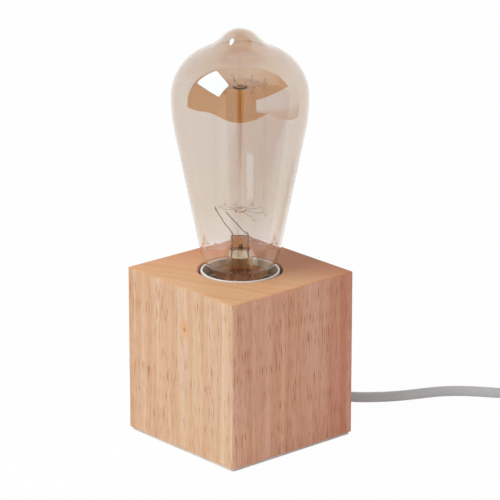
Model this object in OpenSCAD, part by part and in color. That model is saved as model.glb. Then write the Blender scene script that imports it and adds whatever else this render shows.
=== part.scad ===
// Bare bulb table lamp: a wooden block with a sunk E27 lampholder, a squirrel-cage lamp bulb that
// unscrews, and a mains cord with an inline rocker switch, a tied coil and a two-pin plug.
// Millimetres, +Z up, origin at the centre of the underside. The cord leaves the back, +Y.

/* [Wooden block] */
// Width and depth of the block
block_w = 75; // [72:0.5:80]
// Height of the block without its pad
block_h = 80.5; // [80:0.5:84]
// Chamfer along every edge of the block
block_edge = 0.5; // [0.3:0.1:1]
// Diameter of the well that the lampholder stands in
well_d = 40.2; // [39.5:0.1:42]
// Depth of the well
well_depth = 57.5; // [57:0.5:58]
// Diameter of the wiring recess in the underside
recess_d = 44; // [40:1:48]
// Depth of the wiring recess, above the pad
recess_depth = 13; // [12.5:0.5:14]
// Thickness of the pad under the block
pad_t = 1; // [0.8:0.1:1.2]
// How far the pad stays back from the block's edges
pad_inset = 0.6; // [0.3:0.1:2]

/* [Lampholder] */
// Outside diameter of the skirt
skirt_d = 37.4; // [37:0.1:38.5]
// Wall of the skirt at its rim
rim_t = 1.1; // [0.9:0.1:1.4]
// Inside radius of the threaded shell
shell_r = 13.45; // [13.4:0.05:13.6]

/* [Bulb] */
// Largest diameter of the glass
bulb_d = 64; // [62:0.5:65]
// Length from the centre contact to the tip of the glass
bulb_len = 144.3; // [143:0.1:146]
// Height of the widest place above the centre contact
widest_z = 112; // [110:0.1:113]
// Slope of the straight flank, in degrees from the axis
flank_a = 11.3; // [11:0.1:11.6]
// Thickness of the glass
glass_t = 0.8; // [0.6:0.1:1]
// How far the centre contact sits below the top of the block
seat_depth = 28.1; // [28:0.1:28.4]
// Turn of the glass stem about the axis, in degrees
stem_turn = 48.7; // [0:0.1:360]
// Radius that the filament's supports reach
cage_r = 12.5; // [11:0.5:13.5]

/* [Cord] */
// Diameter of the cord
cord_d = 5; // [5:0.1:5.2]
// Height of the cord's axis where it leaves the block
exit_z = 5; // [5:0.1:5.2]

/* [Switch and plug] */
// Length, width and height of the inline switch
switch_size = [20, 50, 12];
// Tilt of the rocker on each side of level, in degrees
rocker_tilt = 7; // [5:1:8]
// Width and height of the plug's body
plug_size = [35.3, 13.7];
// Diameter, length and spacing of the plug's pins
pin_size = [4, 19, 18.6];

/* [Hidden] */
$fn = 48;
over = 0.5; // how far a cutting shape runs past the face that it cuts

top_z = pad_t + block_h;
well_z = top_z - well_depth;
recess_z = pad_t + recess_depth;
seat_z = top_z - seat_depth;

// Lampholder heights, upwards from the floor of the well
skirt_z = well_z + 23;    // lower edge of the skirt
spigot_z = skirt_z + 5;   // top of the dome's spigot, where the insert sits
skirt_in_r = 15.6;        // bore of the skirt round the spigot
spigot_in_r = 13.8;
nipple_r = 5;             // M10 x 1

// Bulb heights above the centre contact
cap_top = 26.1;
cap_in_r = 12.5;
cap_out_r = 13.05;
neck_z = 39.6;            // lower end of the straight flank
press_z = 35.1;           // lower end of the pinched part of the stem
press_top = 44.9;
lower_z = 57.4;           // middle of the lower button
upper_z = 118;            // middle of the upper button
rod_r = 1.45;

// Radii of the glass outline's arcs
belly_r = 85;
crown_r = 24.1;
tip_r = 10.7;
shoulder_r = 22;          // hollow sweep from the crown up to the tip
neck_r = 35;

// Cord route on the table: points chosen along the curve that the cord lies in
switch_at = [60, 173];
switch_mid = switch_size[2] / 2;
coil_at = [25.8, 222];
coil_r = 27.5;            // middle of the turns: eleven cord diameters across
coil_reach = 6.7;         // how far the turns spiral in and out from that
coil_layers = 3;
run_near = [
    [0, 46.5, 5], [0.1, 51, 4.9], [0.9, 55.5, 4.5], [2.7, 60, 3.8], [5.4, 64.3, 3.1],
    [8.9, 68.8, 2.6], [12.9, 73.9, 2.5], [17, 79.4, 2.5], [20.5, 85.3, 2.5],
    [23.4, 91.5, 2.5], [26, 97.5, 2.5], [28.7, 103.2, 2.5], [32.2, 108.6, 2.5],
    [36.4, 113.4, 2.5], [41.1, 117.7, 2.5], [46, 121.6, 2.5], [50.6, 125.3, 2.6],
    [54.6, 129.8, 3.1], [57.6, 135.1, 4], [59.4, 140.9, 5.1], [60, 146.5, 5.9], [60, 151, 6]
];
run_far = [
    [60, 195, 6], [60, 199, 5.9], [60, 203.5, 5.1], [60, 208, 4], [60, 212.5, 3.1],
    [60, 217, 2.6], [60, 222, 2.5], [59.5, 227.9, 2.5]
];
// The tail leaves the coil's top turn and climbs over the others to the plug:
// angle about the coil's centre, radius and height
tail_climb = [
    [215, 20.8, 12.5], [234, 20.8, 13.3], [253, 21, 15.2], [271, 22.9, 17.1], [288, 25.9, 17.7],
    [305, 29, 17.9], [322, 31.3, 18], [339, 32.2, 18.2], [355, 31.6, 18.7]
];
tail_bend_r = 20;
tail_bend_at = [coil_at[0] + 11.3, coil_at[1] - 3];
plug_z = 21.85;
tail_run = concat(
    [for (c = tail_climb) [coil_at[0] + c[1] * cos(c[0]), coil_at[1] + c[1] * sin(c[0]), c[2]]],
    [for (a = [15:15:90]) concat(point_on(tail_bend_at, tail_bend_r, a),
        plug_z - (plug_z - 18.7) * pow(cos(a), 2))]
);

// ---------------------------------------------------------------- shared shapes

function point_on(c, r, a) = [c[0] + r * cos(a), c[1] + r * sin(a)];
function arc(c, r, a0, a1, n) = [for (i = [0:n]) point_on(c, r, a0 + (a1 - a0) * i / n)];
function unit(v) = v / norm(v);
function polar(r, a, z) = [r * cos(a), r * sin(a), z];

// Centre that lies r1 from c1 and r2 from c2, on the outer side
function meet(c1, r1, c2, r2) = let (
    d = norm(c2 - c1),
    a = (r1 * r1 - r2 * r2 + d * d) / (2 * d),
    u = (c2 - c1) / d
) c1 + a * u + sqrt(r1 * r1 - a * a) * [u[1], -u[0]];

module revolve(outline) {
    rotate_extrude($fn = 96) polygon(outline);
}

module tube_of(r_out, r_in, h) {
    difference() {
        cylinder(r = r_out, h = h);
        translate([0, 0, -over]) cylinder(r = r_in, h = h + 2 * over);
    }
}

module chamfered(w, h, c) {
    x = w / 2;
    y = h / 2;
    polygon([
        [x, y - c], [x - c, y], [c - x, y], [-x, y - c], [-x, c - y], [c - x, -y], [x - c, -y],
        [x, c - y]
    ]);
}

// Box on z = 0 with a flat chamfer along all twelve edges
module eased_box(x, y, z, c) {
    translate([0, 0, z / 2]) intersection() {
        linear_extrude(z, center = true) chamfered(x, y, c);
        rotate([90, 0, 0]) linear_extrude(y, center = true) chamfered(x, z, c);
        rotate([90, 0, 90]) linear_extrude(x, center = true) chamfered(y, z, c);
    }
}

module segment(a, b, d) {
    v = b - a;
    translate(a) rotate([0, acos(v[2] / norm(v)), atan2(v[1], v[0])])
        cylinder(d = d, h = norm(v), $fn = 24);
}

// Bent wire of round section through points
module wire(points, d) {
    for (i = [0:len(points) - 2]) segment(points[i], points[i + 1], d);
    for (i = [1:len(points) - 2]) translate(points[i]) sphere(d = 1.04 * d, $fn = 24);
}

function heading(p, i) = unit(p[min(i + 1, len(p) - 1)] - p[max(i - 1, 0)]);
function ring(p, i, d, sides) = let (
    t = heading(p, i),
    s = unit(cross(t, [0, 0, 1])),
    u = cross(s, t)
) [for (k = [0:sides - 1]) p[i] + d / 2 * (cos(360 * k / sides) * s + sin(360 * k / sides) * u)];

// Cord of many-sided section through points
module swept(points, d, sides = 12) {
    n = len(points);
    polyhedron(
        points = [for (i = [0:n - 1]) each ring(points, i, d, sides)],
        faces = concat(
            [[for (k = [0:sides - 1]) k]],
            [[for (k = [0:sides - 1]) n * sides - 1 - k]],
            [for (i = [0:n - 2]) for (k = [0:sides - 1]) let (a = i * sides, j = (k + 1) % sides)
                [a + k, a + sides + k, a + sides + j]],
            [for (i = [0:n - 2]) for (k = [0:sides - 1]) let (a = i * sides, j = (k + 1) % sides)
                [a + k, a + sides + j, a + j]]
        )
    );
}

// ---------------------------------------------------------------- wooden base

module base_block() color("burlywood") difference() {
    translate([0, 0, pad_t]) eased_box(block_w, block_w, block_h, block_edge);
    translate([0, 0, well_z]) cylinder(d = well_d, h = well_depth + over);
    translate([0, 0, top_z - 0.4])
        cylinder(d1 = well_d, d2 = well_d + 2 * (0.4 + over), h = 0.4 + over);
    translate([0, 0, pad_t - over]) cylinder(d = recess_d, h = recess_depth + over);
    translate([0, 0, recess_z - over]) cylinder(r = nipple_r + 0.2, h = well_z - recess_z + 2 * over);
    cord_slot();
    clamp_holes(1);
}

// Slot in the underside, from the recess to the back, that the bushing sits in
module cord_slot() {
    slot_r = 3.9;
    translate([0, recess_d / 2 - 2, exit_z]) rotate([-90, 0, 0])
        cylinder(r = slot_r, h = block_w / 2 - recess_d / 2 + 2 + over);
    translate([-slot_r, recess_d / 2 - 2, pad_t - over])
        cube([2 * slot_r, block_w / 2 - recess_d / 2 + 2 + over, exit_z - pad_t + over]);
}

module base_pad() color("gainsboro")
    linear_extrude(pad_t) chamfered(block_w - 2 * pad_inset, block_w - 2 * pad_inset, 1);

// ---------------------------------------------------------------- lampholder

module holder_skirt() color("white") {
    r = skirt_d / 2;
    in_r = r - rim_t;
    revolve(concat(
        [[skirt_in_r, skirt_z], [r - 0.5, skirt_z], [r, skirt_z + 0.5]],
        arc([r - rim_t / 2, top_z - rim_t / 2], rim_t / 2, 0, 180, 6),
        [[in_r, top_z - 7], [skirt_in_r, top_z - 9.5]]
    ));
}

module holder_dome() color("white") {
    bend_z = skirt_z - 7.3;
    bend_r = 10.7;
    revolve(concat(
        [[nipple_r, well_z], [8, well_z]],
        arc([8, bend_z], bend_r, -90, 0, 8),
        [[18.7, skirt_z], [skirt_in_r, skirt_z], [skirt_in_r, spigot_z], [spigot_in_r, spigot_z],
            [spigot_in_r, skirt_z - 1], [16.7, skirt_z - 3.5]],
        arc([8, bend_z], bend_r - 2, 0, -90, 8),
        [[nipple_r, bend_z - bend_r + 2]]
    ));
}

// Rivets that join the contacts to the terminals below
rivet_r = 0.8;
live_rivet_x = -5.6;
shell_rivet_x = 10.2;

module rivet_hole(x) translate([x, 0, spigot_z - 8]) cylinder(r = rivet_r, h = 10);

// Ceramic core: a cup for the threaded shell, a pocket for the contact leaf, a boss below
module holder_insert() color("ivory") difference() {
    revolve([
        [0, spigot_z - 10], [13.6, spigot_z - 10], [13.6, spigot_z], [15.4, spigot_z],
        [15.4, spigot_z + 2], [14.9, spigot_z + 2.5], [14.9, spigot_z + 8], [shell_r + 0.4, spigot_z + 8],
        [shell_r + 0.4, spigot_z], [8, spigot_z], [8, spigot_z - 4], [0, spigot_z - 4]
    ]);
    for (side = [-1, 1]) translate([side * 8 - 3, -3.5, spigot_z - 10 - over]) cube([6, 9.5, 3 + over]);
    for (x = [live_rivet_x, shell_rivet_x]) rivet_hole(x);
}

// Drawn sheet-metal shell that the cap screws into: flange below, lip above
module thread_shell() color("silver") difference() {
    revolve([
        [shell_r, spigot_z + 0.4], [8.8, spigot_z + 0.4], [8.8, spigot_z],
        [shell_r + 0.4, spigot_z], [shell_r + 0.4, spigot_z + 24],
        [shell_r + 1.1, spigot_z + 24.8], [shell_r + 1.1, spigot_z + 25.3],
        [shell_r + 0.7, spigot_z + 25.3], [shell_r, spigot_z + 24.2]
    ]);
    rivet_hole(shell_rivet_x);
}

// Sprung brass strip that presses on the bulb's centre contact
module contact_leaf() color("goldenrod") difference() {
    translate([0, 3, spigot_z - 4]) rotate([90, 0, 0]) linear_extrude(6) polygon([
        [-7, 0], [-3, 0], [1, 4.6], [3, 4.6], [5.5, 2.8], [5.8, 3.2], [3.2, 5.1], [0.8, 5.1],
        [-3.2, 0.5], [-7, 0.5]
    ]);
    rivet_hole(live_rivet_x);
}

module contact_rivets() color("goldenrod") {
    rivet(live_rivet_x, spigot_z - 3.5);
    rivet(shell_rivet_x, spigot_z + 0.4);
}

module rivet(x, head_z) translate([x, 0, spigot_z - 7]) {
    cylinder(r = rivet_r, h = head_z - spigot_z + 7);
    translate([0, 0, head_z - spigot_z + 7]) cylinder(r1 = 1.3, r2 = 1, h = 0.5);
}

module terminal_blocks() color("goldenrod") for (side = [-1, 1]) difference() {
    translate([side * 8 - 3, -3.5, spigot_z - 12]) cube([6, 7, 5]);
    translate([side * 8, 0, spigot_z - 12 - over]) cylinder(d = 2, h = 3 + over);
    translate([side * 8, -1, spigot_z - 10]) rotate([-90, 0, 0]) cylinder(d = 3, h = 5);
}

module terminal_screws() color("silver") for (side = [-1, 1])
    translate([side * 8, 0, spigot_z - 10]) rotate([-90, 0, 0]) difference() {
        union() {
            translate([0, 0, 1.1]) cylinder(d = 3, h = 2.5);
            translate([0, 0, 3.5]) cylinder(d = 5, h = 1.6);
        }
        translate([-0.35, -3, 4.4]) cube([0.7, 6, 1]);
    }

module threaded_nipple() color("silver") translate([0, 0, recess_z - 6])
    tube_of(nipple_r, 4, well_z - recess_z + 15);

module nipple_washer() color("silver") translate([0, 0, recess_z - 0.8])
    tube_of(10, nipple_r, 0.8);

module nipple_nut() color("silver") translate([0, 0, recess_z - 3.8]) difference() {
    intersection() {
        cylinder(r = 8.08, h = 3, $fn = 6);
        cylinder(r1 = 7.4, r2 = 10.4, h = 3);
    }
    translate([0, 0, -over]) cylinder(r = nipple_r, h = 4);
}

sheath_end = 9; // where the cord's sheath is cut back, in the recess

// One insulated conductor, from the end of the cord up through the nipple to its terminal
module conductor(side) wire([
    [side * 1.2, sheath_end, exit_z], [side * 1.2, 3.5, exit_z], [side * 1.7, 0, 8.5],
    [side * 1.7, 0, well_z + 8.5], [side * 8, 0, spigot_z - 14], [side * 8, 0, spigot_z - 10.5]
], 2);

module lead_live() color("saddlebrown") conductor(-1);

module lead_neutral() color("steelblue") conductor(1);

// ---------------------------------------------------------------- cord clamp and bushing

clamp_y = 14;
clamp_x = 7;

module clamp_holes(r) for (side = [-1, 1])
    translate([side * clamp_x, clamp_y, recess_z - over]) cylinder(r = r, h = 7 + over);

module clamp_part(z, h) difference() {
    translate([0, clamp_y, z]) eased_box(20, 7, h, 0.4);
    translate([0, clamp_y - 4, exit_z]) rotate([-90, 0, 0]) cylinder(d = cord_d, h = 8);
    for (side = [-1, 1]) translate([side * clamp_x, clamp_y, z - over]) cylinder(r = 1.6, h = h + 2 * over);
}

module clamp_block() color("white") clamp_part(exit_z + 0.2, recess_z - exit_z - 0.2);

module clamp_bar() color("white") clamp_part(pad_t + 0.9, exit_z - pad_t - 1.1);

module clamp_screws() color("silver") for (side = [-1, 1])
    translate([side * clamp_x, clamp_y, pad_t + 0.1]) difference() {
        union() {
            cylinder(r = 2.6, h = 0.8);
            cylinder(r = 1, h = recess_z - pad_t + 5);
            cylinder(r = 1.6, h = recess_z - pad_t - 0.1);
        }
        translate([-3, -0.3, -over]) cube([6, 0.6, over + 0.3]);
    }

module cord_inner() color("lightgray") translate([0, sheath_end, exit_z]) rotate([-90, 0, 0])
    cylinder(d = cord_d, h = run_near[0][1] - sheath_end);

// Strain relief: a sleeve in the slot, a collar on the back face, a grooved taper outside
module cord_bushing() color("lightgray") translate([0, block_w / 2, exit_z]) rotate([-90, 0, 0]) {
    tail = run_near[0][1] - block_w / 2;
    difference() {
        union() {
            revolve([
                [cord_d / 2, -12], [3.9, -12], [3.9, 0], [4, 0], [4, 0.8], [3.7, 1.2],
                [3.65, 2.2], [3.15, 2.2], [3.15, 3.2], [3.55, 3.2], [3.45, 4.4], [3.05, 4.4],
                [3.05, 5.4], [3.35, 5.4], [3.25, 6.6], [2.95, 6.6], [2.95, 7.5], [3.1, 7.5],
                [3, tail], [cord_d / 2, tail]
            ]);
            translate([-3.9, 0, -12]) cube([7.8, exit_z - pad_t - 0.1, 12]);
        }
        translate([0, 0, -13]) cylinder(d = cord_d, h = 14);
    }
}

// ---------------------------------------------------------------- cord

module cord_run_near() color("lightgray") swept(run_near, cord_d);

module cord_run_far() color("lightgray") swept(run_far, cord_d);

tie_angle = 200;
tie_w = 8;
tie_t = 0.6;

module at_tie() translate([coil_at[0], coil_at[1], 0]) rotate([0, 0, tie_angle])
    translate([coil_r, 0, 0]) children();

coil_w = 2 * coil_reach + cord_d;
coil_h = coil_layers * cord_d;

module cord_coil() color("lightgray") difference() {
    corner = cord_d / 2;
    translate([coil_at[0], coil_at[1], coil_h / 2]) revolve([
        for (q = [0:3]) each arc(
            [coil_r + coil_reach * (q == 0 || q == 3 ? 1 : -1), (coil_h / 2 - corner) * (q < 2 ? 1 : -1)],
            corner, 90 * q, 90 * q + 90, 4)
    ]);
    at_tie() translate([-coil_w, -tie_w / 2 - 0.1, -over])
        cube([2 * coil_w, tie_w + 0.2, tie_t + over]);
}

// The strap runs under the coil in a groove, and leaves room for the coil's curve inside
module coil_tie() color("dimgray") at_tie() difference() {
    inside = 0.5;
    translate([0.05, 0, 0]) eased_box(coil_w + 2, tie_w, coil_h + 0.7, 0.3);
    translate([-coil_w / 2 - inside, -tie_w, tie_t])
        cube([coil_w + inside + 0.1, 2 * tie_w, coil_h - tie_t]);
}

module cord_tail() color("lightgray") swept(tail_run, cord_d);

// ---------------------------------------------------------------- inline switch

axle_z = 9;
rocker_r = 9.9;
rocker_w = 9;

module at_switch() translate([switch_at[0], switch_at[1], 0]) children();

module switch_outline(inset = 0) {
    w = switch_size[0] / 2 - inset;
    l = switch_size[1] / 2 - inset;
    n = 6 - inset * 0.7;
    polygon([
        [n, -l], [w, -l + 10], [w, l - 10], [n, l], [-n, l], [-w, l - 10], [-w, -l + 10], [-n, -l]
    ]);
}

module switch_slab(z, h, inset = 0) translate([0, 0, z]) linear_extrude(h) switch_outline(inset);

screw_spots = [[5.6, -14.4], [5.6, 14.4]];

module switch_cuts() {
    translate([0, -switch_size[1] / 2 - over, switch_mid]) rotate([-90, 0, 0])
        cylinder(d = cord_d, h = switch_size[1] + 2 * over);
    for (p = screw_spots) translate([p[0], p[1], -over]) {
        cylinder(r = 1.1, h = 10 + over);
        cylinder(r = 2.1, h = 2 + over);
    }
}

module switch_posts(z, h) for (p = screw_spots) translate([p[0], p[1], z]) cylinder(r = 2.4, h = h);

module switch_base() color("whitesmoke") at_switch() difference() {
    union() {
        difference() {
            hull() {
                switch_slab(0, 0.1, 0.8);
                switch_slab(0.8, switch_mid - 0.8);
            }
            switch_slab(1.6, switch_mid, 1.6);
        }
        switch_posts(1, switch_mid - 1);
    }
    switch_cuts();
}

module switch_cover() color("whitesmoke") at_switch() difference() {
    h = switch_size[2];
    union() {
        difference() {
            hull() {
                switch_slab(switch_mid, h - switch_mid - 1.2);
                switch_slab(h - 0.1, 0.1, 1.2);
            }
            switch_slab(switch_mid - over, h - 1.6 - switch_mid + over, 1.6);
        }
        switch_posts(switch_mid, 5);
        for (side = [-1, 1]) translate([side * 6 - 1, -3, axle_z - 1.8]) cube([2, 6, 3.4]);
    }
    translate([-rocker_w / 2 - 0.3, -rocker_r - 0.35, axle_z - 1])
        cube([rocker_w + 0.6, 2 * rocker_r + 0.7, 6]);
    translate([-7.2, 0, axle_z]) rotate([0, 90, 0]) cylinder(r = 1, h = 14.4);
    switch_cuts();
}

// Rocker at rest: tipped to the off side
module switch_rocker() color("gray") at_switch() translate([0, 0, axle_z]) rotate([-rocker_tilt, 0, 0])
    difference() {
        intersection() {
            translate([-rocker_w / 2, 0, 0]) rotate([90, 0, 90]) linear_extrude(rocker_w) polygon([
                [-11, 4.3], [-8, 3.6], [-4, 3.1], [0, 2.9], [4, 3.1], [8, 3.6], [11, 4.3],
                [11, -0.6], [3, -1.6], [1.6, -3.4], [-1.6, -3.4], [-3, -1.6], [-11, -0.6]
            ]);
            rotate([0, 90, 0]) cylinder(r = rocker_r, h = rocker_w + 2, center = true);
        }
        rotate([0, 90, 0]) cylinder(r = 1.05, h = rocker_w + 2, center = true);
    }

module switch_axle() color("silver") at_switch() translate([-7, 0, axle_z]) rotate([0, 90, 0])
    cylinder(r = 1, h = 14);

// Two brass contacts on the floor of the base
module switch_contacts() color("goldenrod") at_switch() for (side = [-1, 1])
    translate([-2.5, side * 8 - 3, 1.6]) difference() {
        cube([5, 6, 2]);
        translate([-1, -side * 1.6, 0.6]) cube([7, 6, 2]);
    }

// The blue wire runs through, and the brown one is broken at the contacts
module switch_wires() color("saddlebrown") at_switch() {
    end = switch_size[1] / 2 - 3;
    wire([[-1.2, -end, switch_mid], [-5, -14.7, 3.6], [-5, 14.7, 3.6], [-1.2, end, switch_mid]], 1.8);
    for (side = [-1, 1])
        wire([[1.3, side * end, switch_mid], [1.6, side * 17, 4.4], [1.6, side * 11.3, 3.2]], 1.8);
}

module switch_screws() color("silver") at_switch() for (p = screw_spots)
    translate([p[0], p[1], 0.3]) difference() {
        union() {
            cylinder(r = 2, h = 1.7);
            cylinder(r = 1.1, h = 9);
        }
        translate([-0.25, -1.3, -over]) cube([0.5, 2.6, over + 0.6]);
        translate([-1.3, -0.25, -over]) cube([2.6, 0.5, over + 0.6]);
    }

// ---------------------------------------------------------------- plug

plug_tail = 12;   // length of the grooved sleeve
plug_depth = 24;  // length of the body
plug_at = [tail_bend_at[0], tail_bend_at[1] + tail_bend_r, plug_z];

// The plug lies along -X: its own +Z runs from the cord to the pins
module at_plug() translate(plug_at) rotate([0, -90, 0]) children();

module plug_section(w, h, c, z, t) translate([0, 0, z]) rotate([0, 0, 90])
    linear_extrude(t) chamfered(w, h, c);

module plug_body() color("lightgray") at_plug() {
    hull() {
        plug_section(13, 9.5, 3, plug_tail - 1, 0.5);
        plug_section(20, 12.4, 4, plug_tail + 5, 0.5);
        plug_section(plug_size[0], plug_size[1], 4.6, plug_tail + 15, plug_depth - 15.6);
        plug_section(plug_size[0] - 1.2, plug_size[1] - 1.2, 4.4, plug_tail + plug_depth - 0.5, 0.5);
    }
    revolve([
        [0, 0], [3.1, 0], [3.2, 1.6], [2.8, 1.6], [2.8, 2.8], [3.4, 2.8], [3.55, 4.6], [3.05, 4.6],
        [3.05, 5.8], [3.75, 5.8], [3.9, 7.6], [3.3, 7.6], [3.3, 8.8], [4.1, 8.8], [4.3, 11.5], [0, 11.5]
    ]);
}

module plug_pins() color("silver") at_plug() for (side = [-1, 1])
    translate([0, side * pin_size[2] / 2, plug_tail + plug_depth]) {
        cylinder(d = pin_size[0], h = pin_size[1] - 1.5);
        translate([0, 0, pin_size[1] - 1.5]) cylinder(d1 = pin_size[0], d2 = 2, h = 1.5);
    }

// ---------------------------------------------------------------- bulb

module in_bulb() translate([0, 0, seat_z]) children();

module in_stem() in_bulb() rotate([0, 0, stem_turn]) children();

widest_r = bulb_d / 2;
belly_c = [widest_r - belly_r, widest_z];
crown_c = [widest_r - crown_r, widest_z];
tip_c = [0, bulb_len - tip_r];
shoulder_c = meet(crown_c, crown_r + shoulder_r, tip_c, tip_r + shoulder_r);
crown_end = atan2(shoulder_c[1] - crown_c[1], shoulder_c[0] - crown_c[0]);
tip_start = atan2(shoulder_c[1] - tip_c[1], shoulder_c[0] - tip_c[0]);
flank_top = point_on(belly_c, belly_r, -flank_a);
flank_end = [flank_top[0] - (flank_top[1] - neck_z) * tan(flank_a), neck_z];
neck_c = flank_end - neck_r * [cos(flank_a), -sin(flank_a)];

// Outline of the glass, from the cap up to the tip, moved inwards by inset
function glass_outline(inset) = concat(
    arc(neck_c, neck_r - inset, -asin((neck_c[1] - cap_top) / (neck_r - inset)), -flank_a, 8),
    arc(belly_c, belly_r - inset, -flank_a, 0, 6),
    arc(crown_c, crown_r - inset, 6, crown_end, 12),
    arc(shoulder_c, shoulder_r + inset, crown_end + 177, tip_start + 183, 5),
    arc(tip_c, tip_r - inset, tip_start, 90, 8)
);

function reversed(list) = [for (i = [len(list) - 1:-1:0]) list[i]];

module bulb_glass() color("wheat", 0.35) in_bulb() revolve(concat(
    [[cap_in_r - glass_t, cap_top - 7], [cap_in_r, cap_top - 7], [cap_in_r, cap_top]],
    glass_outline(0),
    reversed(glass_outline(glass_t)),
    [[cap_in_r - glass_t, cap_top - 1.5]]
));

module bulb_cap() color("silver") in_bulb() revolve([
    [cap_in_r, cap_top], [cap_out_r + 0.2, cap_top], [cap_out_r + 0.2, cap_top - 1],
    [cap_out_r, cap_top - 1.4], [cap_out_r, 6.4], [11.4, 4.2], [8.6, 3.6], [8.6, 4.4],
    [11, 5], [cap_in_r, 6.8]
]);

module cap_insulator() color("black") in_bulb() revolve([
    [0, 1.6], [4.6, 1.6], [6.6, 2], [8.6, 3.4], [8.6, 5.2], [0, 5.2]
]);

module bulb_contact() color("lightslategray") in_bulb() revolve([
    [0, 0], [1.8, 0.1], [3.4, 0.5], [4.5, 1.2], [4.6, 1.58], [0, 1.58]
]);

// Glass foot of the stem: a tube that flares out to the neck
module stem_flare() color("white", 0.4) in_bulb() revolve(concat(
    [[11.7, cap_top - 5.5], [11.7, cap_top - 4.5]],
    arc([11.7, cap_top + 1.5], 6, -90, -180, 6),
    [[5.7, press_z], [4.7, press_z]],
    reversed(arc([11.7, cap_top + 1.5], 7, -90, -180, 6))
));

// The tube's end, pinched flat round the wires, with the hole that the air left by
module stem_press() color("white", 0.4) in_stem() difference() {
    hull() {
        translate([0, 0, press_z]) cylinder(r = 5.7, h = 0.6, $fn = 32);
        translate([-4.6, -1.7, press_z + 4]) cube([9.2, 3.4, press_top - press_z - 4]);
    }
    translate([0, 0, press_z - over]) cylinder(r = 1.6, h = 3.2 + over);
    translate([0, 0, press_z + 3.4]) rotate([90, 0, 0]) cylinder(r = 1.1, h = 8);
}

module exhaust_tube() color("white", 0.4) in_stem() translate([0, 0, 12])
    tube_of(1.6, 1, press_z + 2.7 - 12);

module support_rod() color("white", 0.4) in_stem() translate([0, 0, press_top])
    cylinder(r = rod_r, h = upper_z - press_top);

module button(z, r) in_stem() translate([0, 0, z]) revolve([
    [rod_r, -1.5], [r - 0.8, -1.5], [r, -0.7], [r, 0.7], [r - 0.8, 1.5], [rod_r, 1.5]
]);

module lower_button() color("white", 0.4) button(lower_z, 2.7);

module upper_button() color("white", 0.4) {
    button(upper_z - 1.5, 2.9);
    in_stem() translate([0, 0, upper_z]) cylinder(r1 = 2.1, r2 = 1.2, h = 1);
}

hook_d = 0.4;
hook_z = 2.2;   // height of a hook's top, in rises above its button
upper_rise = 1.4;
lower_rise = -0.9;
upper_angles = [192, 150, 105, 62, 22, -15, -60, 232]; // in the order that the filament takes
lower_angles = [154, 130, 102, 61, 30, -18, -61];

// Support wires from a glass button: straight out, a small dip and a hooked end
module hooks(z, r, angles, rise) in_stem() for (a = angles) wire([
    polar(r - 0.5, a, z), polar(cage_r * 0.72, a + 2, z + rise),
    polar(cage_r * 0.9, a - 2, z - rise / 2), polar(cage_r, a, z + hook_z * rise),
    polar(cage_r + 0.7, a + 5, z + 1.4 * rise)
], hook_d);

module lower_hooks() color("gray") hooks(lower_z, 2.7, lower_angles, lower_rise);

module upper_hooks() color("gray") hooks(upper_z - 1.5, 2.9, upper_angles, upper_rise);

lead_d = 0.7;
lead_left_tip = [-11.2, -2, lower_z + 0.7];
lead_right_tip = [-5.8, -6.5, lower_z + 0.1];
lead_left_end = lead_left_tip + [-0.8, -0.3, 1.6];
lead_right_end = lead_right_tip + [-0.8, -0.5, 1.2];

module lead_wire_left() color("gray") in_stem() wire([
    lead_left_end, lead_left_tip, [-4.1, -0.3, press_top + 1.9], [-3.5, 0, press_top + 0.4],
    [-3.6, 0, press_top - 1.5], [-3.6, 0, 16], [-1, 0, 8], [0, 0, 5.2]
], lead_d);

module lead_wire_right() color("gray") in_stem() wire([
    lead_right_end, lead_right_tip, [1.2, -1.7, press_top + 3], [2.9, -0.6, press_top + 1.1],
    [3.7, 0, press_top - 1.2], [3.7, 0, 17], [12.2, 0, 14.5]
], lead_d);

// Squirrel cage: one thin coiled strand, up and down between the hooks
cage_top = upper_z - 1.5 + hook_z * upper_rise;
cage_low = lower_z + hook_z * lower_rise;
strand = concat(
    [lead_left_end],
    [for (i = [0:6]) each [
        polar(cage_r, upper_angles[i], cage_top), polar(cage_r, lower_angles[i], cage_low)
    ]],
    [polar(cage_r, upper_angles[7], cage_top), lead_right_end]
);

module filament() color("darkorange") in_stem() wire(strand, 0.28);

base_block();
base_pad();
holder_skirt();
holder_dome();
holder_insert();
thread_shell();
contact_leaf();
contact_rivets();
terminal_blocks();
terminal_screws();
threaded_nipple();
nipple_washer();
nipple_nut();
lead_live();
lead_neutral();
clamp_block();
clamp_bar();
clamp_screws();
cord_inner();
cord_bushing();
cord_run_near();
cord_run_far();
cord_coil();
coil_tie();
cord_tail();
switch_base();
switch_cover();
switch_rocker();
switch_axle();
switch_contacts();
switch_wires();
switch_screws();
plug_body();
plug_pins();
bulb_contact();
bulb_cap();
cap_insulator();
bulb_glass();
stem_flare();
stem_press();
exhaust_tube();
support_rod();
upper_button();
lower_button();
upper_hooks();
lower_hooks();
lead_wire_left();
lead_wire_right();
filament();
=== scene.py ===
"""Looks of the bare bulb table lamp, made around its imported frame.

Lengths are in millimetres and become metres where a mesh or curve is made. +Z is up, the origin
is the centre of the underside, and the cord leaves the back, +Y.
"""
import math

import bmesh
import bpy
from mathutils import Matrix, Vector

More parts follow.
